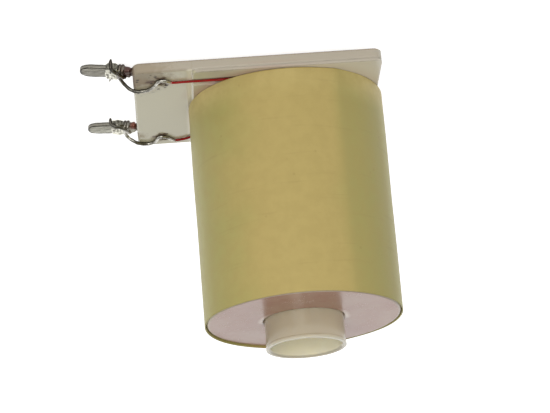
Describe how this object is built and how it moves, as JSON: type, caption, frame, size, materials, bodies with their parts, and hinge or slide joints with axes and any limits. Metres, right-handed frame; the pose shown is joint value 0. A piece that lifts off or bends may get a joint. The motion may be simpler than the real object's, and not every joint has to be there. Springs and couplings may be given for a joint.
{
  "type": "open solenoid coil",
  "caption": "Open solenoid coil: wound nylon bobbin in a paper wrapper, slip-in plunger sleeve, and solder lugs on a flat tab with looped wire leads.",
  "frame": {"origin": "on the bore axis, in the outer face of the terminal flange", "axes": "+Z along the bore towards the protruding end of the sleeve, +X towards the solder lugs"},
  "size_m": [0.0564, 0.038, 0.052],
  "materials": {
    "bobbin_nylon": "moulded natural nylon, slightly glossy",
    "sleeve_nylon": "moulded natural nylon, satin gloss",
    "enamelled_wire": "red enamel on copper wire, tinned near the lugs",
    "tape": "adhesive film tape",
    "wrapper_paper": "olive-yellow paper, satin",
    "tinned_lug": "tinned, satin",
    "solder": "bright solder",
    "strip_paper": "insulating paper"
  },
  "bodies": {
    "coil": {"bobbin": "bobbin_nylon", "winding": "enamelled_wire", "insulation_tape": "tape", "paper_wrapper": "wrapper_paper", "start_terminal": "tinned_lug", "finish_terminal": "tinned_lug", "start_lead": "enamelled_wire", "finish_lead": "enamelled_wire", "start_solder": "solder", "finish_solder": "solder", "start_lead_strip": "strip_paper"},
    "sleeve": {"coil_sleeve": "sleeve_nylon"}
  },
  "joints": [
    {"name": "sleeve_slide", "type": "slide", "parent": "coil", "child": "sleeve", "axis": [0, 0, 1], "range_m": [0, 0.0453]}
  ]
}
